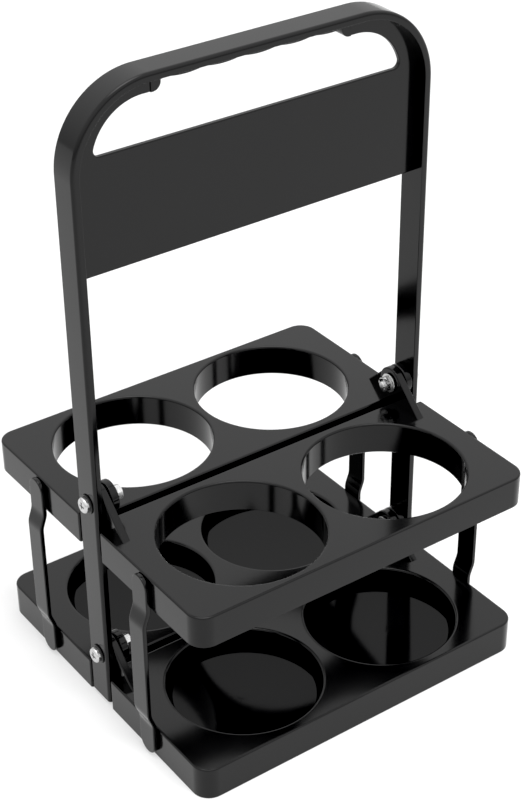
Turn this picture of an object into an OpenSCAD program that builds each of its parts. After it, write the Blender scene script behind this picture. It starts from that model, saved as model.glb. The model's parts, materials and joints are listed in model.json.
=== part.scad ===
// Folding four-cup carrier: an upright handle frame, two pairs of half trays that
// fold up beside it, and four side links that keep each pair of half trays level.
// X runs along the hinge line, Y is the depth, Z is up. The floor is z = 0.

/* [Trays] */
// Length of every half tray along the hinge line
tray_length = 192; // [150:1:240]
// Depth of every half tray from its inner edge to its outer edge
tray_depth = 88.5; // [80:0.5:110]
// Gap between the front and back half trays
tray_gap = 4.5; // [3:0.5:10]
// Radius of the two outer corners of a half tray
corner_radius = 9; // [4:1:20]
// Height of the upper half trays
upper_tray_height = 17; // [12:1:24]
// Height of the lower half trays
lower_tray_height = 18; // [14:1:26]
// Thickness of tray side walls and cup collars
wall_thickness = 2.2; // [1.5:0.1:4]
// Thickness of the tray top plates
plate_thickness = 2.2; // [1.5:0.1:4]

/* [Cup places] */
// Diameter of the holes in the upper trays
cup_hole_diameter = 80; // [60:1:82]
// Distance between the two holes of one half tray
cup_spacing = 84.4; // [70:0.2:100]
// Distance from the hinge line to the hole centres
cup_offset = 47; // [40:0.5:60]
// Bevel round the top edge of each hole and seat
rim_bevel = 0.8; // [0.2:0.1:1.5]
// Diameter of the sunk seats in the lower trays
seat_diameter = 78; // [56:1:82]
// Depth of the sunk seats
seat_depth = 9; // [1:0.5:11]
// Thickness of the floor under each seat
seat_floor = 2; // [1:0.2:4]

/* [Handle frame] */
// Height of the top of the handle above the floor
handle_height = 323; // [280:1:400]
// Width of the handle band, front to back
band_width = 15; // [10:0.5:18]
// Thickness of the handle band
band_thickness = 4; // [3:0.5:6]
// Outer radius of the top corners
band_corner_radius = 40; // [20:1:60]
// Clearance under the feet of the two legs
foot_clearance = 2; // [0.5:0.5:6]
// Thickness of the web and front panel
web_thickness = 2.5; // [1.5:0.1:5]
// Height of the panel under the hand hole
panel_height = 54.5; // [35:0.5:80]
// Height of the hand hole from the panel to the web above it
hand_hole_height = 22; // [18:0.5:40]
// Width of the web left beside the hand hole
web_margin = 9.5; // [6:0.5:14]
// Width of the web left above the hand hole
top_margin = 7.5; // [5:0.5:12]
// Radius of the lower corners of the hand hole
hole_corner = 3; // [1:0.5:6]

/* [Grip] */
// Length of the thicker grip rib
grip_length = 105; // [80:1:130]
// How far the grip rib stands out in front of the web
grip_front = 0.6; // [0.4:0.1:3]
// How far the grip rib stands out behind the web
grip_back = 4.5; // [0.5:0.5:5.5]
// Length between the centres of the two finger stops
stop_spacing = 103; // [80:1:120]
// Radius of the finger stops
stop_radius = 4.1; // [3:0.1:8]
// Pitch of the rounded lobes under the grip
finger_pitch = 19; // [14:1:24]
// Height of those lobes
finger_depth = 1; // [0.4:0.1:1.2]
// How far the middle lobe lies to the right of the middle
finger_shift = 3; // [-4:0.5:4]

/* [Pivots] */
// Height of each hinge line above the top face of its trays
pivot_rise = 11; // [9:0.5:16]
// Distance between the lower and the upper hinge line
pivot_pitch = 90; // [88:0.5:120]
// Radius of the rounded top of the tray ears
ear_radius = 8; // [6:0.5:10]
// Thickness of the tray ears
ear_thickness = 4; // [3:0.5:6]
// How far the sloping edge of an ear reaches out over its tray
ear_reach = 23; // [16:1:40]
// Side gap between leg, ears and washers
side_gap = 0.5; // [0.3:0.1:1]
// How far the notches for the legs reach into the trays
notch_reach = 9.5; // [8:0.5:14]
// Height of the relief along the lower inner edge of an upper tray
relief_height = 4; // [2:0.5:8]
// Depth of that relief
relief_depth = 2; // [0.5:0.25:2]

/* [Fasteners] */
// Diameter of the pivot bolts
bolt_diameter = 4; // [3:0.5:6]
// Radial clearance of the ears on the bolts
pivot_clearance = 0.08; // [0.02:0.01:0.1]
// Diameter of the bolt heads
head_diameter = 8; // [6:0.5:12]
// Height of the bolt heads
head_height = 2.4; // [1.5:0.1:4]
// Width across the flats of the nuts
nut_flats = 7; // [5.5:0.5:10]
// Height of the nuts
nut_height = 3.2; // [2.4:0.1:5]
// Length of bolt that stands out of each nut
bolt_end = 1; // [0.4:0.2:3]
// Diameter of the washers
washer_diameter = 10; // [8:0.5:12]
// Thickness of the washers
washer_thickness = 0.8; // [0.5:0.1:1.5]

/* [Side links] */
// Width of the link strips
link_width = 12; // [8:0.5:16]
// Thickness of the link strips
link_thickness = 2.2; // [1.5:0.1:4]
// How far the middle of a link stands further out than its ends
link_step = 2.5; // [0:0.25:5]
// Length of the flat end parts of a link
link_end_length = 19; // [17:1:26]
// Length of the sloping parts of a link
link_slope_length = 7; // [3:1:12]
// How far a link runs past its studs
link_overrun = 8; // [6:0.5:9]
// Distance from the hinge line to the link studs, measured along the tray
stud_offset = 46.5; // [30:0.5:60]
// Distance of the link studs below the tray top faces
stud_drop = 8.5; // [7:0.5:9]
// Diameter of the link studs
stud_diameter = 6; // [4:0.5:8]
// Radial clearance of the studs in the trays
stud_clearance = 0.08; // [0.02:0.01:0.1]
// Side gap between a link and the trays
link_gap = 0.4; // [0.3:0.1:1]
// Outer diameter of the push-on rings on the studs
ring_diameter = 9; // [8:0.5:11]
// Thickness of the push-on rings
ring_thickness = 1; // [0.6:0.1:1.5]

/* [Hidden] */
half_length = tray_length / 2;
inner_edge = tray_gap / 2;
outer_edge = inner_edge + tray_depth;
hole_x = cup_spacing / 2;
hole_r = cup_hole_diameter / 2;
seat_r = seat_diameter / 2;
half_band = band_width / 2;
leg_inner_x = half_length - band_thickness;
lower_pivot_z = lower_tray_height + pivot_rise;
upper_pivot_z = lower_pivot_z + pivot_pitch;
upper_top_z = upper_pivot_z - pivot_rise;
upper_bottom_z = upper_top_z - upper_tray_height;
ear_outboard_x = leg_inner_x - side_gap;
ear_inboard_x = ear_outboard_x - ear_thickness - side_gap;
notch_x = ear_outboard_x;
inner_washer_x = ear_inboard_x - ear_thickness - side_gap;
nut_x = inner_washer_x - washer_thickness;
bolt_r = bolt_diameter / 2;
pivot_bore_r = bolt_r + pivot_clearance;
head_x = half_length + washer_thickness;
stud_r = stud_diameter / 2;
stud_bore_r = stud_r + stud_clearance;
boss_r = stud_r + wall_thickness;
ear_blend = 0.15;
hole_blend = 0.05;
boss_depth = 3;
boss_inner_x = half_length - wall_thickness - boss_depth;
link_inner_x = half_length + link_gap;
ring_x = boss_inner_x - link_gap;
stud_end_x = ring_x - ring_thickness - bolt_end;
stud_low = pivot_rise + stud_drop;
hole_half = half_length - band_thickness - web_margin;
hole_top = handle_height - band_thickness - top_margin;
panel_top = hole_top - hand_hole_height;
panel_bottom = panel_top - panel_height;
hole_arc = band_corner_radius - band_thickness - web_margin;
finger_top = hole_top + stop_radius;
lobe_r = (finger_pitch * finger_pitch / 4 + finger_depth * finger_depth) / (2 * finger_depth);
web_overlap = 0.5;
cut = 1;
through = 400;
cross_width = 1.1;
cross_length = 4.6;
cross_depth = 1.3;
rib_thickness = 2;
plastic = [0.16, 0.165, 0.175];
zinc = [0.78, 0.79, 0.8];
spring = [0.35, 0.36, 0.38];
$fn = 96;

// A disc or tube lying along X from x0 to x1
module along_x(x0, x1, r, y, z) {
    translate([min(x0, x1), y, z]) rotate([0, 90, 0]) cylinder(h = abs(x1 - x0), r = r);
}

// A flat outline drawn in width and height, given its thickness along Y
module upright(thickness) {
    translate([0, thickness / 2, 0]) rotate([90, 0, 0]) linear_extrude(thickness) children();
}

// A flat outline drawn in depth and height, given its thickness along X from x0
module sideways(x0, thickness) {
    translate([x0, 0, 0]) rotate([90, 0, 90]) linear_extrude(thickness) children();
}

// Outline with rounded top corners
module arch_outline(half_width, bottom, top, r) {
    translate([-half_width, bottom]) square([2 * half_width, top - r - bottom]);
    translate([-(half_width - r), bottom]) square([2 * (half_width - r), top - bottom]);
    for (side = [-1, 1]) translate([side * (half_width - r), top - r]) circle(r);
}

// Hand hole with its rounded lower corners
module hand_hole_outline() {
    corner_z = panel_top + hole_corner;
    rise = max(0, corner_z - (hole_top - hole_arc));
    reach = hole_arc - hole_corner;
    join_a = asin(rise / reach);
    join_z = corner_z - rise + hole_arc * sin(join_a);
    corner_x = hole_half - hole_arc + reach * cos(join_a) + hole_blend;
    intersection() {
        arch_outline(hole_half, panel_bottom, hole_top, hole_arc);
        translate([-hole_half, join_z]) square([2 * hole_half, handle_height]);
    }
    translate([-corner_x, panel_top]) square([2 * corner_x, join_z + hole_corner - panel_top]);
    for (side = [-1, 1]) translate([side * corner_x, corner_z]) circle(hole_corner);
}

// Room for the fingers between the two rounded stops, with shallow lobes along its top
module finger_outline() {
    difference() {
        translate([-stop_spacing / 2, hole_top - cut])
            square([stop_spacing, stop_radius + finger_depth + cut]);
        for (i = [-3:3]) translate([finger_shift + i * finger_pitch, finger_top + lobe_r])
            circle(lobe_r, $fn = 240);
        for (side = [-1, 1]) translate([side * stop_spacing / 2, finger_top])
            circle(stop_radius);
    }
}

// Upright frame: two legs, top band, panel with hand hole and grip rib in one moulding
module handle_frame() color(plastic) {
    difference() {
        union() {
            upright(band_width) difference() {
                arch_outline(half_length, foot_clearance, handle_height, band_corner_radius);
                translate([0, -cut]) arch_outline(leg_inner_x, foot_clearance,
                    handle_height - band_thickness + cut, band_corner_radius - band_thickness);
            }
            upright(web_thickness) difference() {
                arch_outline(leg_inner_x + web_overlap, panel_bottom,
                    handle_height - band_thickness + web_overlap,
                    band_corner_radius - band_thickness);
                hand_hole_outline();
                finger_outline();
            }
            translate([0, (grip_back - grip_front) / 2, 0])
                upright(web_thickness + grip_front + grip_back) difference() {
                    translate([-grip_length / 2, hole_top])
                        square([grip_length, handle_height - band_thickness + web_overlap - hole_top]);
                    finger_outline();
                }
        }
        for (z = [lower_pivot_z, upper_pivot_z])
            along_x(-through, through, pivot_bore_r, 0, z);
    }
}

// Half tray outline drawn for the front tray, set in from the edge all round
module tray_outline(inset) {
    side_x = half_length - inset;
    r = corner_radius - inset;
    far = -(outer_edge - inset);
    notch_y = -(notch_reach + inset);
    translate([-side_x, far + r]) square([2 * side_x, notch_y - far - r]);
    translate([-(side_x - r), far]) square([2 * (side_x - r), r + cut]);
    for (side = [-1, 1]) translate([side * (side_x - r), far + r]) circle(r);
    translate([-(notch_x - inset), notch_y - cut])
        square([2 * (notch_x - inset), cut + notch_reach - inner_edge]);
}

// Ear outline about the hinge line, for a tray on the front side
module ear_outline() {
    sink = pivot_rise + plate_thickness;
    near_d = sqrt(inner_edge * inner_edge + pivot_rise * pivot_rise);
    far_d = sqrt(ear_reach * ear_reach + pivot_rise * pivot_rise);
    r = ear_radius - ear_blend;
    far_a = atan2(-pivot_rise, -ear_reach) - acos(r / far_d);
    near_a = atan2(-pivot_rise, -inner_edge) + acos(r / near_d);
    circle(ear_radius);
    polygon([[-ear_reach, -sink], [-ear_reach, -pivot_rise], [r * cos(far_a), r * sin(far_a)],
             [0, 0], [r * cos(near_a), r * sin(near_a)],
             [-inner_edge, -pivot_rise], [-inner_edge, -sink]]);
}

// Everything two kinds of half tray share, with the underside at z = 0
module tray_shell(height) {
    difference() {
        linear_extrude(height) tray_outline(0);
        translate([0, 0, -cut]) linear_extrude(height - plate_thickness + cut)
            tray_outline(wall_thickness);
    }
    for (side = [-1, 1]) {
        along_x(side * boss_inner_x, side * (half_length - cut), boss_r,
            -stud_offset, height - stud_drop);
        translate([side > 0 ? boss_inner_x : -half_length + cut,
                   -stud_offset - rib_thickness / 2, height - stud_drop])
            cube([half_length - cut - boss_inner_x, rib_thickness, stud_drop - cut]);
    }
}

module tray_ears(height) {
    translate([0, 0, height + pivot_rise]) {
        sideways(-ear_outboard_x, ear_thickness) ear_outline();
        sideways(ear_inboard_x - ear_thickness, ear_thickness) ear_outline();
    }
}

module tray_bores(height) {
    along_x(-through, through, pivot_bore_r, 0, height + pivot_rise);
    for (side = [-1, 1]) along_x(side * (hole_x + hole_r + wall_thickness + cut),
        side * through, stud_bore_r, -stud_offset, height - stud_drop);
}

// Upper half tray on the front side, underside at z = 0
module upper_half() {
    difference() {
        union() {
            tray_shell(upper_tray_height);
            for (side = [-1, 1]) translate([side * hole_x, -cup_offset, 0])
                cylinder(h = upper_tray_height, r = hole_r + wall_thickness, $fn = 160);
            translate([-rib_thickness / 2, -outer_edge + cut, 0])
                cube([rib_thickness, tray_depth - 2 * cut, upper_tray_height - cut]);
            tray_ears(upper_tray_height);
        }
        for (side = [-1, 1]) translate([side * hole_x, -cup_offset, 0]) {
            translate([0, 0, -cut])
                cylinder(h = upper_tray_height + 2 * cut, r = hole_r, $fn = 160);
            translate([0, 0, upper_tray_height - rim_bevel])
                cylinder(h = rim_bevel + cut, r1 = hole_r, r2 = hole_r + rim_bevel + cut, $fn = 160);
        }
        tray_bores(upper_tray_height);
        sideways(-through, 2 * through) polygon([
            [-inner_edge - relief_depth, 0], [-inner_edge - relief_depth, -cut],
            [0, -cut], [0, relief_height], [-inner_edge, relief_height]]);
    }
}

// Lower half tray on the front side, underside at z = 0
module lower_half() {
    well_bottom = lower_tray_height - seat_depth - seat_floor;
    difference() {
        union() {
            tray_shell(lower_tray_height);
            for (side = [-1, 1]) translate([side * hole_x, -cup_offset, well_bottom])
                cylinder(h = seat_depth + seat_floor, r = seat_r + wall_thickness, $fn = 160);
            tray_ears(lower_tray_height);
        }
        for (side = [-1, 1]) translate([side * hole_x, -cup_offset, 0]) {
            translate([0, 0, well_bottom + seat_floor])
                cylinder(h = seat_depth + cut, r = seat_r, $fn = 160);
            translate([0, 0, lower_tray_height - rim_bevel])
                cylinder(h = rim_bevel + cut, r1 = seat_r, r2 = seat_r + rim_bevel + cut, $fn = 160);
        }
        tray_bores(lower_tray_height);
    }
}

module front_upper_tray() color(plastic) translate([0, 0, upper_bottom_z]) upper_half();
module back_upper_tray() color(plastic) translate([0, 0, upper_bottom_z])
    rotate([0, 0, 180]) upper_half();
module front_lower_tray() color(plastic) lower_half();
module back_lower_tray() color(plastic) rotate([0, 0, 180]) lower_half();

// Right-hand link seen from the front, drawn at the front studs
module link_body() {
    low_z = lower_pivot_z - stud_low;
    high_z = upper_pivot_z - stud_low;
    bottom = low_z - link_overrun;
    top = high_z + link_overrun;
    end_r = link_width / 2;
    slope_lo = bottom + link_end_length;
    slope_hi = top - link_end_length;
    x0 = link_inner_x;
    x1 = link_inner_x + link_step;
    t = link_thickness;
    intersection() {
        translate([0, -stud_offset, 0]) upright(link_width) polygon([
            [x0, bottom], [x0 + t, bottom], [x0 + t, slope_lo],
            [x1 + t, slope_lo + link_slope_length], [x1 + t, slope_hi - link_slope_length],
            [x0 + t, slope_hi], [x0 + t, top], [x0, top], [x0, slope_hi],
            [x1, slope_hi - link_slope_length], [x1, slope_lo + link_slope_length],
            [x0, slope_lo]]);
        sideways(x0 - cut, t + link_step + 2 * cut) {
            translate([-stud_offset - end_r, bottom + end_r])
                square([link_width, top - bottom - link_width]);
            for (z = [bottom + end_r, top - end_r]) translate([-stud_offset, z]) circle(end_r);
        }
    }
    for (z = [low_z, high_z])
        along_x(stud_end_x, x0 + t / 2, stud_r, -stud_offset, z);
}

module front_right_link() color(plastic) link_body();
module front_left_link() color(plastic) mirror([1, 0, 0]) link_body();
module back_right_link() color(plastic) mirror([0, 1, 0]) link_body();
module back_left_link() color(plastic) rotate([0, 0, 180]) link_body();

// Push-on rings behind the front right link
module ring_pair() {
    for (z = [lower_pivot_z - stud_low, upper_pivot_z - stud_low]) difference() {
        along_x(ring_x - ring_thickness, ring_x, ring_diameter / 2, -stud_offset, z);
        along_x(0, through, stud_r, -stud_offset, z);
    }
}

module front_right_rings() color(spring) ring_pair();
module front_left_rings() color(spring) mirror([1, 0, 0]) ring_pair();
module back_right_rings() color(spring) mirror([0, 1, 0]) ring_pair();
module back_left_rings() color(spring) rotate([0, 0, 180]) ring_pair();

// Pan head bolt through the right leg, at height z
module pivot_bolt(z) {
    difference() {
        union() {
            along_x(nut_x - nut_height - bolt_end, head_x + cut, bolt_r, 0, z);
            along_x(head_x, head_x + head_height, head_diameter / 2, 0, z);
        }
        for (turn = [0, 90]) translate([head_x + head_height, 0, z]) rotate([turn, 0, 0])
            translate([-cross_depth, -cross_length / 2, -cross_width / 2])
                cube([cross_depth + cut, cross_length, cross_width]);
    }
}

module pivot_nut(z) {
    difference() {
        translate([nut_x - nut_height, 0, z]) rotate([0, 90, 0])
            cylinder(h = nut_height, r = nut_flats / sqrt(3), $fn = 6);
        along_x(0, through, bolt_r, 0, z);
    }
}

module upper_right_bolt() color(zinc) pivot_bolt(upper_pivot_z);
module lower_right_bolt() color(zinc) pivot_bolt(lower_pivot_z);
module upper_left_bolt() color(zinc) mirror([1, 0, 0]) pivot_bolt(upper_pivot_z);
module lower_left_bolt() color(zinc) mirror([1, 0, 0]) pivot_bolt(lower_pivot_z);
module upper_right_nut() color(zinc) pivot_nut(upper_pivot_z);
module lower_right_nut() color(zinc) pivot_nut(lower_pivot_z);
module upper_left_nut() color(zinc) mirror([1, 0, 0]) pivot_nut(upper_pivot_z);
module lower_left_nut() color(zinc) mirror([1, 0, 0]) pivot_nut(lower_pivot_z);

module washer_set(x0) {
    for (side = [0, 1], z = [lower_pivot_z, upper_pivot_z]) mirror([side, 0, 0])
        difference() {
            along_x(x0, x0 + washer_thickness, washer_diameter / 2, 0, z);
            along_x(0, through, bolt_r, 0, z);
        }
}

module outer_washers() color(plastic) washer_set(half_length);
module inner_washers() color(zinc) washer_set(nut_x);

handle_frame();
front_upper_tray();
back_upper_tray();
front_lower_tray();
back_lower_tray();
front_left_link();
front_right_link();
back_left_link();
back_right_link();
upper_left_bolt();
upper_right_bolt();
lower_left_bolt();
lower_right_bolt();
upper_left_nut();
upper_right_nut();
lower_left_nut();
lower_right_nut();
outer_washers();
inner_washers();
front_left_rings();
front_right_rings();
back_left_rings();
back_right_rings();
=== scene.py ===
import json
import math
import bmesh
import bpy
from mathutils import Matrix, Vector


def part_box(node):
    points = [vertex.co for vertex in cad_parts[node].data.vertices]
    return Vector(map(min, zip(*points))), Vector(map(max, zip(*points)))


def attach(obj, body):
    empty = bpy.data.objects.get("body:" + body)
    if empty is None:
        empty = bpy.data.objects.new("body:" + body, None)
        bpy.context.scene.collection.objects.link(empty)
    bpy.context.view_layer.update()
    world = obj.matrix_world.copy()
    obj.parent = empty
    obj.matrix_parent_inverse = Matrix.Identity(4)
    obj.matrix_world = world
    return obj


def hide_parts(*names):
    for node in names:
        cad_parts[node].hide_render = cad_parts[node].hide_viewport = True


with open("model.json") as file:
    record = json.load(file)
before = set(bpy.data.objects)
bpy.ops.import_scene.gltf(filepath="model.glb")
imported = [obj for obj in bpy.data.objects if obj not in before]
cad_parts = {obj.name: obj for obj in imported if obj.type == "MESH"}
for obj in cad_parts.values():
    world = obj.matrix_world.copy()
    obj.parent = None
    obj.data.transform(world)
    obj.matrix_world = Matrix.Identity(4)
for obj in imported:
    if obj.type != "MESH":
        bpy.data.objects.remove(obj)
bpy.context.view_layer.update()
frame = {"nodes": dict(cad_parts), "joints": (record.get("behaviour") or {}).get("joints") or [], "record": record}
print("stage: frame loaded")

# meshes are drawn in millimetres and turned into metres once, when they are made
mm = 0.001
mergeDistance = 0.0005  # millimetres
creaseAngle = math.radians(40)  # edges bent more than this stay sharp
mounts = {m["name"]: m for m in frame["record"]["mounts"]}
joints = {j["name"]: j for j in frame["joints"]}
upperPivot = joints["front_fold"]["pos_m"][2] / mm
lowerPivot = joints["front_lower_fold"]["pos_m"][2] / mm
frameLow, frameHigh = (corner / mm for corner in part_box("handle_frame"))
cupHole = mounts["cup_hole_front_right"]
holeX, holeY = cupHole["pos_m"][0] / mm, -cupHole["pos_m"][1] / mm
holeRadius = cupHole["dims"]["r_mm"]
halfLength = frameHigh.x
halfBand = frameHigh.y


class Value:
    # one output of a node, with Python's own operators for shader maths
    def __init__(self, graph, socket):
        self.graph, self.socket = graph, socket

    def math(self, operation, first, second):
        return self.graph.add("ShaderNodeMath", {"operation": operation}, {0: first, 1: second})

    def __add__(self, other):
        return self.math("ADD", self, other)

    def __radd__(self, other):
        return self.math("ADD", other, self)

    def __sub__(self, other):
        return self.math("SUBTRACT", self, other)

    def __rsub__(self, other):
        return self.math("SUBTRACT", other, self)

    def __mul__(self, other):
        return self.math("MULTIPLY", self, other)

    def __rmul__(self, other):
        return self.math("MULTIPLY", other, self)


class Graph:
    # builds the nodes of one material or one Geometry Nodes tree
    def __init__(self, tree):
        self.tree = tree

    def add(self, kind, settings=None, inputs=None, output=0):
        node = self.tree.nodes.new(kind)
        for name, value in (settings or {}).items():
            if name == "stops":
                stops = node.color_ramp.elements
                for place, colour in value[1:-1]:
                    stops.new(place)
                for stop, (place, colour) in zip(stops, value):
                    stop.position, stop.color = place, colour
            else:
                setattr(node, name, value)
        for name, value in (inputs or {}).items():
            if isinstance(value, Value):
                self.tree.links.new(value.socket, node.inputs[name])
            else:
                node.inputs[name].default_value = value
        return Value(self, node.outputs[output]) if node.outputs else node


def newMaterial(name):
    material = bpy.data.materials.new(name)
    material.use_nodes = True
    material.node_tree.nodes.clear()
    return material, Graph(material.node_tree)


def closeMaterial(graph, surface):
    graph.add("ShaderNodeOutputMaterial", {}, {"Surface": surface})


plasticLook = {"dark": (0.0004, 0.0004, 0.0005, 1), "light": (0.0009, 0.0009, 0.0010, 1),
               "roughness": 0.13, "roughnessSpread": 0.04, "flowScale": 28.0, "grainScale": 1500.0,
               "bump": 0.02, "scuffScale": 190.0, "scuffAmount": 0.03, "bending": 1.35, "shine": 0.5}
# painted shade: the sunk seats are dimmer copies of the plastic, duller than the rest with less shine, and their
# walls more so, so they stay dark as if shaded; the walls are rougher too
seatPaintedShadeLook = {**plasticLook, "shine": 0.2, "roughness": 0.06}
seatWallPaintedShadeLook = {**plasticLook, "shine": 0.04, "roughness": 0.6}


def moulding(name, look):
    # glossy moulded plastic: slow flow marks, fine grain and faint scuffs in the gloss
    material, g = newMaterial(name)
    place = g.add("ShaderNodeTexCoord", output=3)
    flow = g.add("ShaderNodeTexNoise", {}, {"Vector": place, "Scale": look["flowScale"], "Detail": 3.0})
    grain = g.add("ShaderNodeTexNoise", {}, {"Vector": place, "Scale": look["grainScale"], "Detail": 2.0})
    scuff = g.add("ShaderNodeTexNoise", {}, {"Vector": place, "Scale": look["scuffScale"], "Detail": 6.0,
                                             "Distortion": 1.5})
    colour = g.add("ShaderNodeMix", {"data_type": "RGBA"}, {0: flow, 6: look["dark"], 7: look["light"]}, 2)
    gloss = look["roughness"] + (flow - 0.5) * look["roughnessSpread"] + (scuff - 0.5) * look["scuffAmount"]
    normal = g.add("ShaderNodeBump", {}, {"Strength": look["bump"], "Distance": 0.00004, "Height": grain})
    closeMaterial(g, g.add("ShaderNodeBsdfPrincipled", {}, {
        "Base Color": colour, "Roughness": gloss, "Normal": normal, "IOR": look["bending"],
        "Specular IOR Level": look["shine"]}))
    return material


washerLook = {"dark": (0.002, 0.002, 0.002, 1), "light": (0.006, 0.006, 0.006, 1), "roughness": 0.3,
              "roughnessSpread": 0.16, "flowScale": 260.0, "grainScale": 2600.0, "bump": 0.25,
              "scuffScale": 900.0, "scuffAmount": 0.1, "bending": 1.4, "shine": 0.5}
zincLook = {"dark": (0.42, 0.42, 0.43, 1), "light": (0.68, 0.68, 0.67, 1), "roughness": 0.20,
            "spread": 0.16, "cloudScale": 420.0, "grainScale": 3000.0, "bump": 0.12}
springLook = {"dark": (0.26, 0.27, 0.29, 1), "light": (0.42, 0.42, 0.44, 1), "roughness": 0.32,
              "spread": 0.18, "cloudScale": 300.0, "grainScale": 2200.0, "bump": 0.16}


def plating(name, look):
    # plated steel: cloudy brightness and a fine grain
    material, g = newMaterial(name)
    place = g.add("ShaderNodeTexCoord", output=3)
    cloud = g.add("ShaderNodeTexNoise", {}, {"Vector": place, "Scale": look["cloudScale"], "Detail": 4.0})
    grain = g.add("ShaderNodeTexNoise", {}, {"Vector": place, "Scale": look["grainScale"], "Detail": 2.0})
    colour = g.add("ShaderNodeMix", {"data_type": "RGBA"}, {0: cloud, 6: look["dark"], 7: look["light"]}, 2)
    normal = g.add("ShaderNodeBump", {}, {"Strength": look["bump"], "Distance": 0.00003, "Height": grain})
    closeMaterial(g, g.add("ShaderNodeBsdfPrincipled", {}, {
        "Base Color": colour, "Metallic": 1.0, "Normal": normal,
        "Roughness": look["roughness"] + (cloud - 0.5) * look["spread"]}))
    return material


# the seat materials below are copies of this plastic with less shine, a painted shade
blackPlastic = moulding("blackPlastic", plasticLook)
seatPlastic = moulding("seatPlastic", seatPaintedShadeLook)
seatWallPlastic = moulding("seatWallPlastic", seatWallPaintedShadeLook)
washerPlastic = moulding("washerPlastic", washerLook)
brightZinc = plating("brightZinc", zincLook)
ringSteel = plating("ringSteel", springLook)
print("stage: materials made")


def turned(angle, radius, centre):
    return Vector((centre[0] + radius * math.cos(angle), centre[1] + radius * math.sin(angle)))


def arc(centre, radius, start, end, steps):
    # start and end in degrees, both ends included
    return [turned(math.radians(start + (end - start) * i / steps), radius, centre) for i in range(steps + 1)]


def corneredOutline(corners, inset=0.0, steps=6, least=0.3):
    # corners run anticlockwise as (x, y, radius), and every inset gives the same number of points
    points = []
    for i, (x, y, radius) in enumerate(corners):
        here = Vector((x, y))
        come = (here - Vector(corners[i - 1][:2])).normalized()
        leave = (Vector(corners[(i + 1) % len(corners)][:2]) - here).normalized()
        comeSide, leaveSide = Vector((-come.y, come.x)), Vector((-leave.y, leave.x))
        apex = here + (comeSide + leaveSide) * (inset / (1 + comeSide.dot(leaveSide)))
        turn = math.atan2(come.x * leave.y - come.y * leave.x, come.dot(leave))
        size = max(radius - inset, least) if turn > 0 else radius + inset
        first = apex - come * (size * math.tan(abs(turn) / 2))
        centre = first + comeSide * (size if turn > 0 else -size)
        points += [centre + Matrix.Rotation(turn * k / steps, 2) @ (first - centre) for k in range(steps + 1)]
    return points


def movedOutline(points, inset):
    # a dense outline with every point moved inwards along its own normal
    moved = []
    for i, here in enumerate(points):
        come = (here - points[i - 1]).normalized()
        leave = (points[(i + 1) % len(points)] - here).normalized()
        side = Vector((-come.y - leave.y, come.x + leave.x))
        moved.append(here + side * (inset / max(1 + come.dot(leave), 0.3)))
    return moved


def roundedEdge(radius, steps, flat=0.3):
    # (inset, depth below the face) from the flat face out to the side wall
    bend = [(radius * (1 - math.sin(a)), radius * (1 - math.cos(a)))
            for a in (math.radians(90 * i / steps) for i in range(steps + 1))]
    return [(radius + flat, 0.0)] + bend


def newObject(name, data):
    made = bpy.data.objects.new(name, data)
    bpy.context.scene.collection.objects.link(made)
    return made


class Shell:
    # gathers closed surfaces, drawn in millimetres, into a new mesh or one that is shared
    def __init__(self, place=lambda x, y, z: (x, y, z), mesh=None):
        self.mesh, self.place = bmesh.new() if mesh is None else mesh, place

    def loop(self, points, height):
        return [self.mesh.verts.new(self.place(p[0], p[1], height)) for p in points]

    def strip(self, loops):
        for low, high in zip(loops, loops[1:]):
            for i in range(len(low)):
                j = (i + 1) % len(low)
                self.mesh.faces.new((low[i], low[j], high[j], high[i]))

    def cap(self, *loops):
        edges = []
        for loop in loops:
            for a, b in zip(loop, loop[1:] + loop[:1]):
                edges.append(self.mesh.edges.get((a, b)) or self.mesh.edges.new((a, b)))
        bmesh.ops.triangle_fill(self.mesh, use_beauty=True, edges=edges)

    def plate(self, outlineAt, holesAt, low, high, radius, steps=4):
        # a flat plate from low to high, with both faces' edges rounded
        edge = roundedEdge(radius, steps)
        profile = [(inset, low + depth) for inset, depth in edge]
        profile += [(inset, high - depth) for inset, depth in reversed(edge)]
        rims = []
        for at in [outlineAt] + list(holesAt):
            loops = [self.loop(at(inset), height) for inset, height in profile]
            self.strip(loops)
            rims.append((loops[0], loops[-1]))
        self.cap(*[rim[0] for rim in rims])
        self.cap(*[rim[1] for rim in rims])

    def lathe(self, profile, steps, closed=True):
        # (radius, height) pairs turned about the upright axis; an open profile is capped at both ends
        loops = [self.loop([turned(2 * math.pi * i / steps, r, (0, 0)) for i in range(steps)], h)
                 for r, h in profile]
        self.strip(loops + ([loops[0]] if closed else []))
        if not closed:
            self.cap(loops[0])
            self.cap(loops[-1])

    def finish(self, name, material):
        bmesh.ops.remove_doubles(self.mesh, verts=self.mesh.verts[:], dist=mergeDistance)
        bmesh.ops.recalc_face_normals(self.mesh, faces=self.mesh.faces[:])
        self.mesh.transform(Matrix.Scale(mm, 4))
        openEdges = sum(1 for e in self.mesh.edges if len(e.link_faces) != 2)
        data = bpy.data.meshes.new(name)
        self.mesh.to_mesh(data)
        self.mesh.free()
        data.shade_smooth()
        data.set_sharp_from_angle(angle=creaseAngle)
        data.materials.append(material)
        if openEdges:
            print("open edges:", name, openEdges)
        return newObject(name, data)


def settle(piece, weighted=True):
    # turns modifiers into plain mesh, with flat faces kept flat by weighted normals
    if weighted:
        flatten = piece.modifiers.new("flatFaces", "WEIGHTED_NORMAL")
        flatten.keep_sharp = True
    bpy.context.view_layer.update()
    shown = piece.evaluated_get(bpy.context.evaluated_depsgraph_get())
    data = bpy.data.meshes.new_from_object(shown)
    piece.modifiers.clear()
    piece.data = data
    return piece


def hand(piece, body, slot, *nodes):
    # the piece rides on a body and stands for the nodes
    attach(piece, body)
    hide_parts(*nodes)
    return piece


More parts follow.
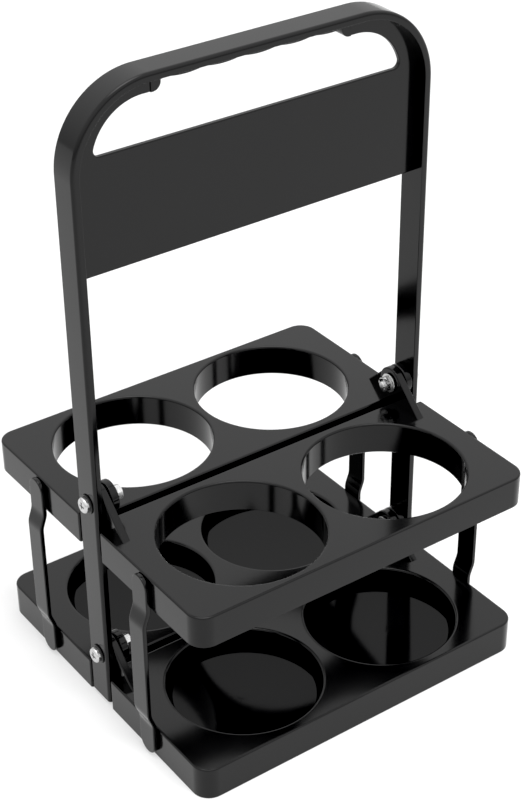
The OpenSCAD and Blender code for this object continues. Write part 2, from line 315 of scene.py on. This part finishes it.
def newTree(name, kinds):
    # a Geometry Nodes tree with named inputs, and their values for use inside it
    tree = bpy.data.node_groups.new(name, "GeometryNodeTree")
    kinds = {"Geometry": "Geometry", **kinds, "Material": "Material"}
    inputs = {label: tree.interface.new_socket(label, in_out="INPUT", socket_type="NodeSocket" + kind)
              for label, kind in kinds.items()}
    tree.interface.new_socket("Geometry", in_out="OUTPUT", socket_type="NodeSocketGeometry")
    g = Graph(tree)
    given = tree.nodes.new("NodeGroupInput")
    return g, inputs, {label: Value(g, given.outputs[label]) for label in inputs}


def closeTree(g, geometry, material):
    whole = g.add("GeometryNodeRealizeInstances", {}, {"Geometry": geometry})
    whole = g.add("GeometryNodeSetMaterial", {}, {"Geometry": whole, "Material": material})
    g.add("NodeGroupOutput", {}, {"Geometry": whole})


def runTree(piece, g, inputs, values):
    # gives the tree its sizes and turns what it makes into plain mesh
    modifier = piece.modifiers.new(g.tree.name, "NODES")
    modifier.node_group = g.tree
    for label, value in values.items():
        modifier[inputs[label].identifier] = value
    settle(piece, weighted=False)


# handle frame: legs and top band are one swept strip, with a web and a thicker grip inside it
handle = {"thickness": 4.0, "cornerRadius": 40.0, "edgeRadius": 0.35, "wideEdgeRadius": 1.8,
          "footRadius": 0.3, "webThickness": 2.5, "webOverlap": 0.5, "webEdge": 0.5,
          "topMargin": 7.5, "sideMargin": 9.5, "holeHeight": 22.0, "panelHeight": 54.5, "holeCorner": 3.0,
          "gripLength": 105.0, "gripFront": 0.6, "gripBack": 4.5, "gripEdge": 0.35,
          "stopSpacing": 103.0, "stopRadius": 4.1, "lobePitch": 19.0, "lobeHeight": 1.0, "lobeShift": 3.0}
underBand = frameHigh.z - handle["thickness"]
holeTop = underBand - handle["topMargin"]


def sweptBand():
    # a rounded path and a section with one wider edge, swept into the strip
    g, inputs, get = newTree("sweptBand", {
        "Corner radius": "Float", "Band width": "Float", "Band thickness": "Float",
        "Edge radius": "Float", "Wide edge radius": "Float"})
    path = g.add("GeometryNodeMeshToCurve", {}, {"Mesh": get["Geometry"]})
    path = g.add("GeometryNodeFilletCurve", {"mode": "POLY"}, {
        "Curve": path, "Radius": get["Corner radius"], "Count": 40, "Limit Radius": True})
    section = g.add("GeometryNodeCurvePrimitiveQuadrilateral", {}, {
        "Width": get["Band thickness"], "Height": get["Band width"]})
    frontCorner = g.add("ShaderNodeMath", {"operation": "COMPARE"}, {
        0: g.add("GeometryNodeInputIndex"), 1: 2.0, 2: 0.1})
    radius = get["Edge radius"] + frontCorner * (get["Wide edge radius"] - get["Edge radius"])
    section = g.add("GeometryNodeFilletCurve", {"mode": "POLY"}, {
        "Curve": section, "Radius": radius, "Count": 6, "Limit Radius": True})
    swept = g.add("GeometryNodeCurveToMesh", {}, {
        "Curve": path, "Profile Curve": section, "Fill Caps": True})
    closeTree(g, swept, get["Material"])
    return g, inputs


def fingerLine():
    # from left to right: a stop's inner quarter, the shallow lobes, the other stop's quarter
    half, r = handle["stopSpacing"] / 2, handle["stopRadius"]
    pitch, height = handle["lobePitch"], handle["lobeHeight"]
    lobe = (pitch * pitch / 4 + height * height) / (2 * height)
    line = holeTop + r
    points = arc((-half, line), r, -90, 0, 10)
    inner = [handle["lobeShift"] + pitch * i / 12 for i in range(-40, 41)]
    for x in [r - half] + [x for x in inner if abs(x) < half - r - 0.2] + [half - r]:
        away = (x - handle["lobeShift"] + pitch / 2) % pitch - pitch / 2
        points.append(Vector((x, line + lobe - math.sqrt(lobe ** 2 - away ** 2))))
    return points + arc((half, line), r, 180, 270, 10)


def archOutline(half, bottom, top, radius, steps=28):
    return ([Vector((-half, bottom)), Vector((half, bottom))]
            + arc((half - radius, top - radius), radius, 0, 90, steps)
            + arc((-half + radius, top - radius), radius, 90, 180, steps))


def handHoleOutline():
    # runs anticlockwise; the grip covers the square notch at the top
    floor = holeTop - handle["holeHeight"]
    big = handle["cornerRadius"] - handle["thickness"] - handle["sideMargin"]
    half = halfLength - handle["thickness"] - handle["sideMargin"]
    small = handle["holeCorner"]
    rise = max(0.0, floor + small - (holeTop - big))
    meet = math.degrees(math.asin(rise / (big - small)))
    smallX = half - big + (big - small) * math.cos(math.radians(meet))
    bigX, bigZ, smallZ = half - big, holeTop - big, floor + small
    notchX, notchTop = handle["gripLength"] / 2 - 0.3, underBand - 1
    right = arc((smallX, smallZ), small, -90, meet, 10) + arc((bigX, bigZ), big, meet, 90, 24)[1:]
    left = [Vector((-p.x, p.y)) for p in reversed(right)]
    notch = [Vector((notchX, holeTop)), Vector((notchX, notchTop)),
             Vector((-notchX, notchTop)), Vector((-notchX, holeTop))]
    return right + notch + left


def gripOutline():
    half, top = handle["gripLength"] / 2, underBand + handle["webOverlap"]
    return fingerLine() + [Vector((half, holeTop)), Vector((half, top)), Vector((-half, top)),
                           Vector((-half, holeTop))]


def buildHandle():
    middle = handle["thickness"] / 2
    x, foot, top = halfLength - middle, frameLow.z, frameHigh.z - middle
    data = bpy.data.meshes.new("handlePath")
    data.from_pydata([Vector(p) * mm for p in ((-x, 0, foot), (-x, 0, top), (x, 0, top), (x, 0, foot))],
                     [(0, 1), (1, 2), (2, 3)], [])
    band = newObject("handleBand", data)
    g, inputs = sweptBand()
    runTree(band, g, inputs, {
        "Corner radius": (handle["cornerRadius"] - middle) * mm, "Band width": 2 * halfBand * mm,
        "Band thickness": handle["thickness"] * mm, "Edge radius": handle["edgeRadius"] * mm,
        "Wide edge radius": handle["wideEdgeRadius"] * mm, "Material": blackPlastic})
    feet = band.modifiers.new("feet", "BEVEL")
    feet.width, feet.segments, feet.limit_method = handle["footRadius"] * mm, 3, "ANGLE"
    feet.angle_limit = math.radians(60)
    settle(band, weighted=False)

    upright = Shell(lambda u, v, w: (u, w, v))
    low = holeTop - handle["holeHeight"] - handle["panelHeight"]
    overlap, bend = handle["webOverlap"], handle["cornerRadius"] - handle["thickness"]
    outer = archOutline(halfLength - handle["thickness"] + overlap, low, underBand + overlap, bend)
    hole = handHoleOutline()
    halfWeb = handle["webThickness"] / 2
    upright.plate(lambda inset: movedOutline(outer, inset), [lambda inset: movedOutline(hole, -inset)],
                  -halfWeb, halfWeb, handle["webEdge"])
    grip = gripOutline()
    upright.plate(lambda inset: movedOutline(grip, inset), [], -halfWeb - handle["gripFront"],
                  halfWeb + handle["gripBack"], handle["gripEdge"])
    web = upright.finish("handleWeb", blackPlastic)

    for piece in (band, web):
        piece.data.shade_smooth()
        piece.data.set_sharp_from_angle(angle=creaseAngle)
        settle(piece)
        hand(piece, "frame", "black_plastic", "handle_frame")


buildHandle()
print("stage: handle frame built")

# half trays: the back ones are the front ones turned half round
tray = {"depth": 88.5, "gap": 4.5, "cornerRadius": 9.0, "wall": 2.2, "plate": 2.2, "topEdge": 0.9,
        "bottomEdge": 0.4, "rimEdge": 1.1, "rise": 11.0, "upperHeight": 17.0, "lowerHeight": 18.0,
        "notchReach": 9.5, "notchX": 91.5, "collar": 1.45, "seatRadius": 38.4, "seatDepth": 8.8,
        "seatRimEdge": 1.4, "seatFloor": 1.6, "seatFillet": 3.0, "seatDish": 0.8, "seatSteps": 8,
        "reliefHeight": 4.0, "reliefDepth": 2.0, "rib": 2.0, "ribEnd": 5.0, "ribLow": 0.3,
        "bossRadius": 5.2, "bossDepth": 3.0, "bossChamfer": 0.3, "bossSink": 0.8, "holeSteps": 160}
ear = {"radius": 8.0, "reach": 23.0, "edge": 0.7, "thickness": 4.0, "gap": 0.5}
link = {"width": 12.0, "thickness": 2.2, "step": 2.5, "endLength": 19.0, "slope": 7.0, "overrun": 8.0,
        "edge": 0.5, "gap": 0.4, "studOffset": 46.5, "studDrop": 8.5, "studRadius": 3.0,
        "studChamfer": 0.4, "ringGap": 0.4, "ringThickness": 1.0, "studEnd": 1.0, "bendBlur": 1.5}


def trayOutline(inset):
    inner = -tray["gap"] / 2
    outer = inner - tray["depth"]
    x, notchX, notchY = halfLength, tray["notchX"], -tray["notchReach"]
    r = tray["cornerRadius"]
    return corneredOutline([(-x, outer, r), (x, outer, r), (x, notchY, 1.0), (notchX, notchY, 0.8),
                            (notchX, inner, 1.0), (-notchX, inner, 1.0), (-notchX, notchY, 0.8),
                            (-x, notchY, 1.0)], inset, steps=10)


def circleAt(x, y, radius):
    steps = tray["holeSteps"]
    return [turned(2 * math.pi * i / steps, radius, (x, y)) for i in range(steps)]


def earOutline():
    # about the hinge line, for a tray on the front side; runs anticlockwise
    r, rise, inner = ear["radius"], tray["rise"], tray["gap"] / 2
    sink = rise + tray["plate"] * 0.6
    near, far = math.hypot(inner, rise), math.hypot(ear["reach"], rise)
    nearAngle = math.degrees(math.atan2(-rise, -inner) + math.acos(r / near))
    farAngle = 360 + math.degrees(math.atan2(-rise, -ear["reach"]) - math.acos(r / far))
    return ([Vector((-ear["reach"], -sink)), Vector((-inner, -sink)), Vector((-inner, -rise))]
            + arc((0, 0), r, nearAngle, farAngle, 40) + [Vector((-ear["reach"], -rise))])


def buildTray(name, node, body, side, baseZ, height, isUpper):
    turn = -side
    shell = Shell(lambda x, y, z: (x * turn, y * turn, z + baseZ))
    wall, plate, low = tray["wall"], tray["plate"], tray["bottomEdge"]
    under = height - plate
    profile = [(wall, under), (wall, low), (wall - low, 0.0), (low, 0.0)]
    profile += [(0.0, low), (0.0, tray["reliefHeight"])]
    profile += [(inset, height - depth) for inset, depth in reversed(roundedEdge(tray["topEdge"], 4))]
    outerLoops = [shell.loop(trayOutline(inset), z) for inset, z in profile]
    shell.strip(outerLoops)
    topRims, underRims = [outerLoops[-1]], [outerLoops[0]]
    rim = roundedEdge(tray["rimEdge"] if isUpper else tray["seatRimEdge"], 5)
    for x in (-holeX, holeX):
        if isUpper:
            r, outerR = holeRadius, holeRadius + tray["collar"]
            steps = [(r + inset, height - depth) for inset, depth in rim]
            steps += [(r, low), (r + low, 0.0), (outerR - low, 0.0), (outerR, low), (outerR, under)]
            loops = [shell.loop(circleAt(x, -holeY, radius), z) for radius, z in steps]
            shell.strip(loops)
            topRims.append(loops[0])
            underRims.append(loops[-1])
        else:
            # the seat's floor is dished a little and runs up into its wall
            r, floor, f = tray["seatRadius"], height - tray["seatDepth"], tray["seatFillet"]
            n, dish = tray["seatSteps"], tray["seatDish"]
            steps = [(r + inset, height - depth) for inset, depth in rim]
            steps += [(r - f + f * math.cos(a), floor + f - f * math.sin(a))
                      for a in (math.radians(90 * i / n) for i in range(n))]
            steps += [((r - f) * k / n, floor - dish * (1 - (k / n) ** 2)) for k in range(n, 0, -1)]
            loops = [shell.loop(circleAt(x, -holeY, radius), z) for radius, z in steps]
            shell.strip(loops[:len(rim)])
            topRims.append(loops[0])
            wallStart = len(shell.mesh.faces)
            shell.strip(loops[len(rim) - 1:1 - n])
            floorStart = len(shell.mesh.faces)
            shell.strip(loops[-n:])
            shell.cap(loops[-1])
            shell.mesh.faces.ensure_lookup_table()
            # painted shade: the wall and its fillet take the dimmest copy of the plastic, the dished floor a
            # dimmer one
            for face in shell.mesh.faces[wallStart:]:
                face.material_index = 1 if face.index < floorStart else 2
            outerR, well = r + tray["collar"], floor - dish - tray["seatFloor"]
            below = [shell.loop(circleAt(x, -holeY, radius), z)
                     for radius, z in ((outerR, under), (outerR, well + low), (outerR - low, well))]
            shell.strip(below)
            underRims.append(below[0])
            shell.cap(below[-1])
    shell.cap(*topRims)
    shell.cap(*underRims)

    if isUpper:
        # the inner edge leans back at the bottom, so that the two halves pass each other
        for v in shell.mesh.verts:
            z, y = v.co.z - baseZ, v.co.y * turn
            if z < tray["reliefHeight"]:
                limit = -tray["gap"] / 2 - tray["reliefDepth"] * (1 - z / tray["reliefHeight"])
                v.co.y = turn * min(y, limit)
        outer = -tray["gap"] / 2 - tray["depth"]
        half, ribEnd = tray["rib"] / 2, -tray["ribEnd"]
        rib = [(-half, outer + 1), (half, outer + 1), (half, ribEnd), (-half, ribEnd)]
        ribLoops = [shell.loop(rib, tray["ribLow"]), shell.loop(rib, under + 0.5)]
        shell.strip(ribLoops)
        shell.cap(ribLoops[0])
        shell.cap(ribLoops[1])

    pivot = height + tray["rise"]
    outline = earOutline()
    outboard = tray["notchX"]
    inboard = outboard - ear["thickness"] - ear["gap"]
    upright = Shell(lambda y, z, x: (x * turn, y * turn, z + pivot + baseZ), shell.mesh)
    for x in (-outboard, inboard - ear["thickness"]):
        upright.plate(lambda inset: movedOutline(outline, inset), [], x, x + ear["thickness"], ear["edge"])

    innerWall, chamfer = halfLength - wall, tray["bossChamfer"]
    bossEnd, sunk = innerWall - tray["bossDepth"], innerWall + tray["bossSink"]
    centre = (-link["studOffset"], height - link["studDrop"])
    for end in (-1, 1):
        boss = Shell(lambda y, z, x, end=end: (x * end * turn, y * turn, z + baseZ), shell.mesh)
        loops = [boss.loop(arc(centre, tray["bossRadius"] - less, 0, 345, 23), x)
                 for x, less in ((bossEnd, chamfer), (bossEnd + chamfer, 0), (sunk, 0))]
        boss.strip(loops)
        boss.cap(loops[0])
        boss.cap(loops[-1])
    piece = shell.finish(name, blackPlastic)
    # painted shade: the lower trays carry the seats' dimmer copies of the plastic
    if not isUpper:
        piece.data.materials.append(seatWallPlastic)
        piece.data.materials.append(seatPlastic)
    return hand(settle(piece), body, "black_plastic", node)


for sideName, side in (("front", -1), ("back", 1)):
    buildTray(sideName + "UpperTray", sideName + "_upper_tray", sideName + "_upper", side,
              upperPivot - tray["rise"] - tray["upperHeight"], tray["upperHeight"], True)
    buildTray(sideName + "LowerTray", sideName + "_lower_tray", sideName + "_lower", side,
              lowerPivot - tray["rise"] - tray["lowerHeight"], tray["lowerHeight"], False)
print("stage: trays built")


def stepAt(z, low, high):
    # how far the strip stands out at height z, with its bends softened
    def sharp(t):
        rise = (t - low - link["endLength"]) / link["slope"]
        fall = (high - link["endLength"] - t) / link["slope"]
        return link["step"] * max(0.0, min(1.0, rise, fall))
    blur = link["bendBlur"]
    return sum(sharp(z + blur * k / 4) for k in range(-4, 5)) / 9


def buildLink(name, body, nodes, sx, sy):
    low = lowerPivot - tray["rise"] - link["studDrop"] - link["overrun"]
    high = upperPivot - tray["rise"] - link["studDrop"] + link["overrun"]
    half, inner = link["width"] / 2, halfLength + link["gap"]
    # right side upwards, round end, left side downwards, round end: point i faces point -1 - i
    heights = [low + half + (high - low - 2 * half) * i / 120 for i in range(121)]
    top = arc((0, high - half), half, 0, 180, 24)[1:-1]
    bottom = arc((0, low + half), half, 180, 360, 24)[1:-1]
    right, left = [Vector((half, z)) for z in heights], [Vector((-half, z)) for z in reversed(heights)]
    lowest = len(bottom) // 2
    outline = bottom[lowest:] + right + top + left + bottom[:lowest]
    shell = Shell(lambda y, z, x: (sx * (x + stepAt(z, low, high)), sy * link["studOffset"] + y, z))
    edge = roundedEdge(link["edge"], 3, flat=0.2)
    t = link["thickness"]
    profile = [(inset, inner + depth) for inset, depth in edge]
    profile += [(inset, inner + t - depth) for inset, depth in reversed(edge)]
    loops = [shell.loop(movedOutline(outline, inset), x) for inset, x in profile]
    shell.strip(loops)
    for rim in (loops[0], loops[-1]):
        n = len(rim)
        for i in range(n // 2 - 1):
            shell.mesh.faces.new((rim[i], rim[i + 1], rim[n - 2 - i], rim[n - 1 - i]))
    studIn = (halfLength - tray["wall"] - tray["bossDepth"]
              - link["ringGap"] - link["ringThickness"] - link["studEnd"])
    chamfer = link["studChamfer"]
    for z in (low + link["overrun"], high - link["overrun"]):
        stud = Shell(lambda y, h, x, z=z: (sx * x, sy * link["studOffset"] + y, z + h), shell.mesh)
        loops = [stud.loop(arc((0, 0), link["studRadius"] - less, 0, 345, 23), x)
                 for x, less in ((studIn, chamfer), (studIn + chamfer, 0.0), (inner + t / 2, 0.0))]
        stud.strip(loops)
        stud.cap(loops[0])
        stud.cap(loops[-1])
    piece = settle(shell.finish(name, blackPlastic))
    return hand(piece, body, "black_plastic", *nodes)


for sideName, sy in (("front", -1), ("back", 1)):
    for handName, sx in (("left", -1), ("right", 1)):
        stem = sideName + "_" + handName
        buildLink(sideName + handName.capitalize() + "Link", stem + "_arm", [stem + "_link"], sx, sy)
        frame["nodes"][stem + "_rings"].data.materials.clear()
        frame["nodes"][stem + "_rings"].data.materials.append(ringSteel)
print("stage: links built")

# pivot fasteners: one part drawn upright, then set on all four pivots by Geometry Nodes
fastener = {"boltRadius": 2.0, "headRadius": 4.0, "headHeight": 2.4, "crossWidth": 1.1, "crossLength": 4.6,
            "crossDepth": 1.3, "washerRadius": 5.0, "washerThickness": 0.8, "nutFlats": 7.0,
            "nutHeight": 3.2, "boltEnd": 1.0, "threadPitch": 0.7, "threadDepth": 0.22, "threadLength": 3.0,
            "headChamfer": 0.15, "headSide": 0.42, "headFlat": 0.72, "nutSlope": 0.58, "nutPlay": 0.05,
            "washerPlay": 0.1}


def pivotPairs():
    # the part is set twice on each side, head outwards
    g, inputs, get = newTree("pivotPairs", {
        "Part": "Object", "Side distance": "Float", "Lower height": "Float", "Pitch": "Float"})
    part = g.add("GeometryNodeObjectInfo", {}, {"Object": get["Part"]}, output=4)
    joined = g.tree.nodes.new("GeometryNodeJoinGeometry")
    for sign in (-1, 1):
        start = g.add("ShaderNodeCombineXYZ", {}, {0: get["Side distance"] * sign, 2: get["Lower height"]})
        spread = g.add("ShaderNodeCombineXYZ", {}, {2: get["Pitch"]})
        points = g.add("GeometryNodeMeshLine", {"mode": "OFFSET"}, {
            "Count": 2, "Start Location": start, "Offset": spread})
        placed = g.add("GeometryNodeInstanceOnPoints", {}, {
            "Points": points, "Instance": part, "Rotation": (0, sign * math.pi / 2, 0)})
        g.tree.links.new(placed.socket, joined.inputs[0])
    closeTree(g, Value(g, joined.outputs[0]), get["Material"])
    return g, inputs


pairGraph, pairInputs = pivotPairs()


def setOnPivots(name, part, distance, material, slot, nodes):
    data = bpy.data.meshes.new(name)
    data.from_pydata([(0, 0, 0)], [], [])
    piece = newObject(name, data)
    runTree(piece, pairGraph, pairInputs, {
        "Part": part, "Side distance": distance * mm, "Lower height": lowerPivot * mm,
        "Pitch": (upperPivot - lowerPivot) * mm, "Material": material})
    piece.data.set_sharp_from_angle(angle=creaseAngle)
    settle(piece)
    bpy.data.objects.remove(part)
    return hand(piece, "frame", slot, *nodes)


def cutWith(piece, cutter, operation):
    cut = piece.modifiers.new("cut", "BOOLEAN")
    cut.operation, cut.object, cut.solver = operation, cutter, "EXACT"
    settle(piece, weighted=False)
    bpy.data.objects.remove(cutter)
    return piece


def panHead():
    # the part's z = 0 is the bearing face of the head; the shank runs down through the stack
    r, h, b = fastener["headRadius"], fastener["headHeight"], fastener["boltRadius"]
    stack = nutFace + fastener["nutHeight"] + fastener["boltEnd"]
    chamfer, side, flat = fastener["headChamfer"], fastener["headSide"], fastener["headFlat"]
    dome = [(r - chamfer, 0.0), (r, chamfer), (r, h * side)]
    dome += [(r * (flat + (1 - flat) * math.cos(a)), h * (side + (1 - side) * math.sin(a)))
             for a in (math.radians(90 * i / 7) for i in range(1, 8))]
    shank = [(b, -0.01), (b, -stack + fastener["threadLength"] + 0.2)]
    z, pitch, deep = -stack + fastener["threadLength"], fastener["threadPitch"], fastener["threadDepth"]
    while z > -stack + 0.5:
        shank += [(b - deep, z), (b, z - pitch / 2)]
        z -= pitch
    shank += [(b - 0.5, -stack)]
    shell = Shell()
    shell.lathe(list(reversed(shank)) + dome, 48, closed=False)
    head = shell.finish("panHead", brightZinc)
    # the cross recess narrows with its depth
    cross = Shell()
    rings = []
    width, length, deep = fastener["crossWidth"], fastener["crossLength"], fastener["crossDepth"]
    for half, arm, z in ((width * 0.36, length * 0.3, h - deep), (width * 0.56, length * 0.54, h + 0.6)):
        quarter = [Vector((arm, -half)), Vector((arm, half)), Vector((half, half))]
        quarters = [Matrix.Rotation(math.radians(90 * k), 2) @ p for k in range(4) for p in quarter]
        rings.append(cross.loop(quarters, z))
    cross.strip(rings)
    cross.cap(rings[0])
    cross.cap(rings[1])
    return cutWith(head, cross.finish("crossRecess", brightZinc), "DIFFERENCE")


def hexNut():
    h, flats = fastener["nutHeight"], fastener["nutFlats"]
    corner = flats / math.sqrt(3)
    shell = Shell()
    loops = [shell.loop([turned(math.radians(60 * i), corner, (0, 0)) for i in range(6)], z)
             for z in (0.0, h)]
    shell.strip(loops)
    shell.cap(loops[0])
    shell.cap(loops[1])
    nut = shell.finish("hexNut", brightZinc)
    # a turned form with sloping shoulders cuts the nut's corners and its hole
    turnedForm = Shell()
    bore = fastener["boltRadius"] + fastener["nutPlay"]
    slope = (corner - flats / 2) * fastener["nutSlope"]
    turnedForm.lathe([(bore + 0.3, 0.0), (flats / 2 - 0.05, 0.0), (corner + 0.1, slope + 0.1),
                      (corner + 0.1, h - slope - 0.1), (flats / 2 - 0.05, h), (bore + 0.4, h),
                      (bore, h - 0.4), (bore, 0.3)], 72)
    return cutWith(nut, turnedForm.finish("nutForm", brightZinc), "INTERSECT")


def flatWasher():
    r, t = fastener["washerRadius"], fastener["washerThickness"]
    bore = fastener["boltRadius"] + fastener["washerPlay"]
    shell = Shell()
    shell.lathe([(bore, 0.1), (bore + 0.1, 0.0), (r - 0.15, 0.0), (r, 0.15), (r, t - 0.2), (r - 0.2, t),
                 (bore + 0.1, t), (bore, t - 0.1)], 64)
    return shell.finish("flatWasher", brightZinc)


# the stack behind each head: washer, leg, gap, ear, gap, ear, gap, washer, nut
nutFace = (fastener["washerThickness"] + handle["thickness"] + 2 * ear["thickness"]
           + 3 * ear["gap"] + fastener["washerThickness"])
headFace = halfLength + fastener["washerThickness"]
pivots = ["upper_left", "upper_right", "lower_left", "lower_right"]
setOnPivots("pivotBolts", panHead(), headFace, brightZinc, "bright_zinc", [p + "_bolt" for p in pivots])
setOnPivots("pivotNuts", hexNut(), headFace - nutFace - fastener["nutHeight"], brightZinc, "bright_zinc",
            [p + "_nut" for p in pivots])
setOnPivots("outerWashers", flatWasher(), halfLength, washerPlastic, "washer_plastic", ["outer_washers"])
setOnPivots("innerWashers", flatWasher(), headFace - nutFace, brightZinc, "bright_zinc", ["inner_washers"])
print("stage: fasteners set")

# floor, light and camera
studio = {"floorSize": 30.0, "floorPaint": 0.3, "floorGlow": 0.5, "blackLevel": 0.003,
          "keyPower": 20.0, "keySize": 0.7, "keyPlace": (0.05, -0.9, 0.9), "keyAim": (0.15, -0.55, 0),
          "room": ((0.0, 0.6), (0.64, 1.5), (0.92, 1.5), (1.0, 6.0))}  # (height, brightness)
photo = {"width": 523, "height": 800, "azimuth": -35.609, "elevation": 33.575, "roll": -0.393,
         "distance": 0.95172, "target": (0.035664, 0.035432, 0.087487), "focalPixels": 1833.67,
         "centreX": 274.06, "centreY": 433.23, "sensor": 36.0}

floorMesh = bpy.data.meshes.new("floor")
size = studio["floorSize"]
floorMesh.from_pydata([(-size, -size, 0), (size, -size, 0), (size, size, 0), (-size, size, 0)], [],
                      [(0, 1, 2, 3)])
floor = newObject("floor", floorMesh)
floorPaint, g = newMaterial("floorPaint")
closeMaterial(g, g.add("ShaderNodeBsdfPrincipled", {}, {
    "Base Color": (studio["floorPaint"],) * 3 + (1,), "Roughness": 0.9, "Emission Color": (1, 1, 1, 1),
    "Emission Strength": studio["floorGlow"]}))
floorMesh.materials.append(floorPaint)

# a white room, dim near the horizon and brightest overhead
world = bpy.data.worlds.new("studio")
bpy.context.scene.world = world
world.use_nodes = True
world.node_tree.nodes.clear()
g = Graph(world.node_tree)
heights = g.add("ShaderNodeSeparateXYZ", {}, {"Vector": g.add("ShaderNodeTexCoord", output=0)}, 2)
greys = [(height, (bright,) * 3 + (1,)) for height, bright in studio["room"]]
tone = g.add("ShaderNodeValToRGB", {"stops": greys}, {"Fac": heights})
g.add("ShaderNodeOutputWorld", {}, {"Surface": g.add("ShaderNodeBackground", {}, {"Color": tone})})

keyData = bpy.data.lights.new("keyLight", "AREA")
keyData.energy, keyData.size = studio["keyPower"], studio["keySize"]
keyLight = newObject("keyLight", keyData)
keyLight.location = studio["keyPlace"]
keyLight.rotation_euler = (Vector(studio["keyAim"]) - keyLight.location).to_track_quat("-Z", "Y").to_euler()
keyLight.visible_glossy = False  # it lights the floor, and the gloss mirrors only the room

azimuth, elevation, roll = (math.radians(photo[k]) for k in ("azimuth", "elevation", "roll"))
back = Vector((math.sin(azimuth) * math.cos(elevation), -math.cos(azimuth) * math.cos(elevation),
               math.sin(elevation)))
right = Vector((0, 0, 1)).cross(back).normalized()
up = back.cross(right)
rolledRight = right * math.cos(roll) + up * math.sin(roll)
rolledUp = up * math.cos(roll) - right * math.sin(roll)
eye = Vector(photo["target"]) + back * photo["distance"]
cameraData = bpy.data.cameras.new("camera")
cameraData.sensor_width = photo["sensor"]
cameraData.lens = photo["focalPixels"] * photo["sensor"] / photo["height"]
cameraData.shift_x = (photo["width"] / 2 - photo["centreX"]) / photo["height"]
cameraData.shift_y = (photo["centreY"] - photo["height"] / 2) / photo["height"]
camera = newObject("camera", cameraData)
camera.matrix_world = Matrix((
    (rolledRight.x, rolledUp.x, back.x, eye.x), (rolledRight.y, rolledUp.y, back.y, eye.y),
    (rolledRight.z, rolledUp.z, back.z, eye.z), (0, 0, 0, 1)))
bpy.context.scene.camera = camera
view = bpy.context.scene.view_settings
view.view_transform = "Standard"
view.use_curve_mapping = True
view.curve_mapping.black_level = (studio["blackLevel"],) * 3
view.curve_mapping.update()
print("stage: studio set")
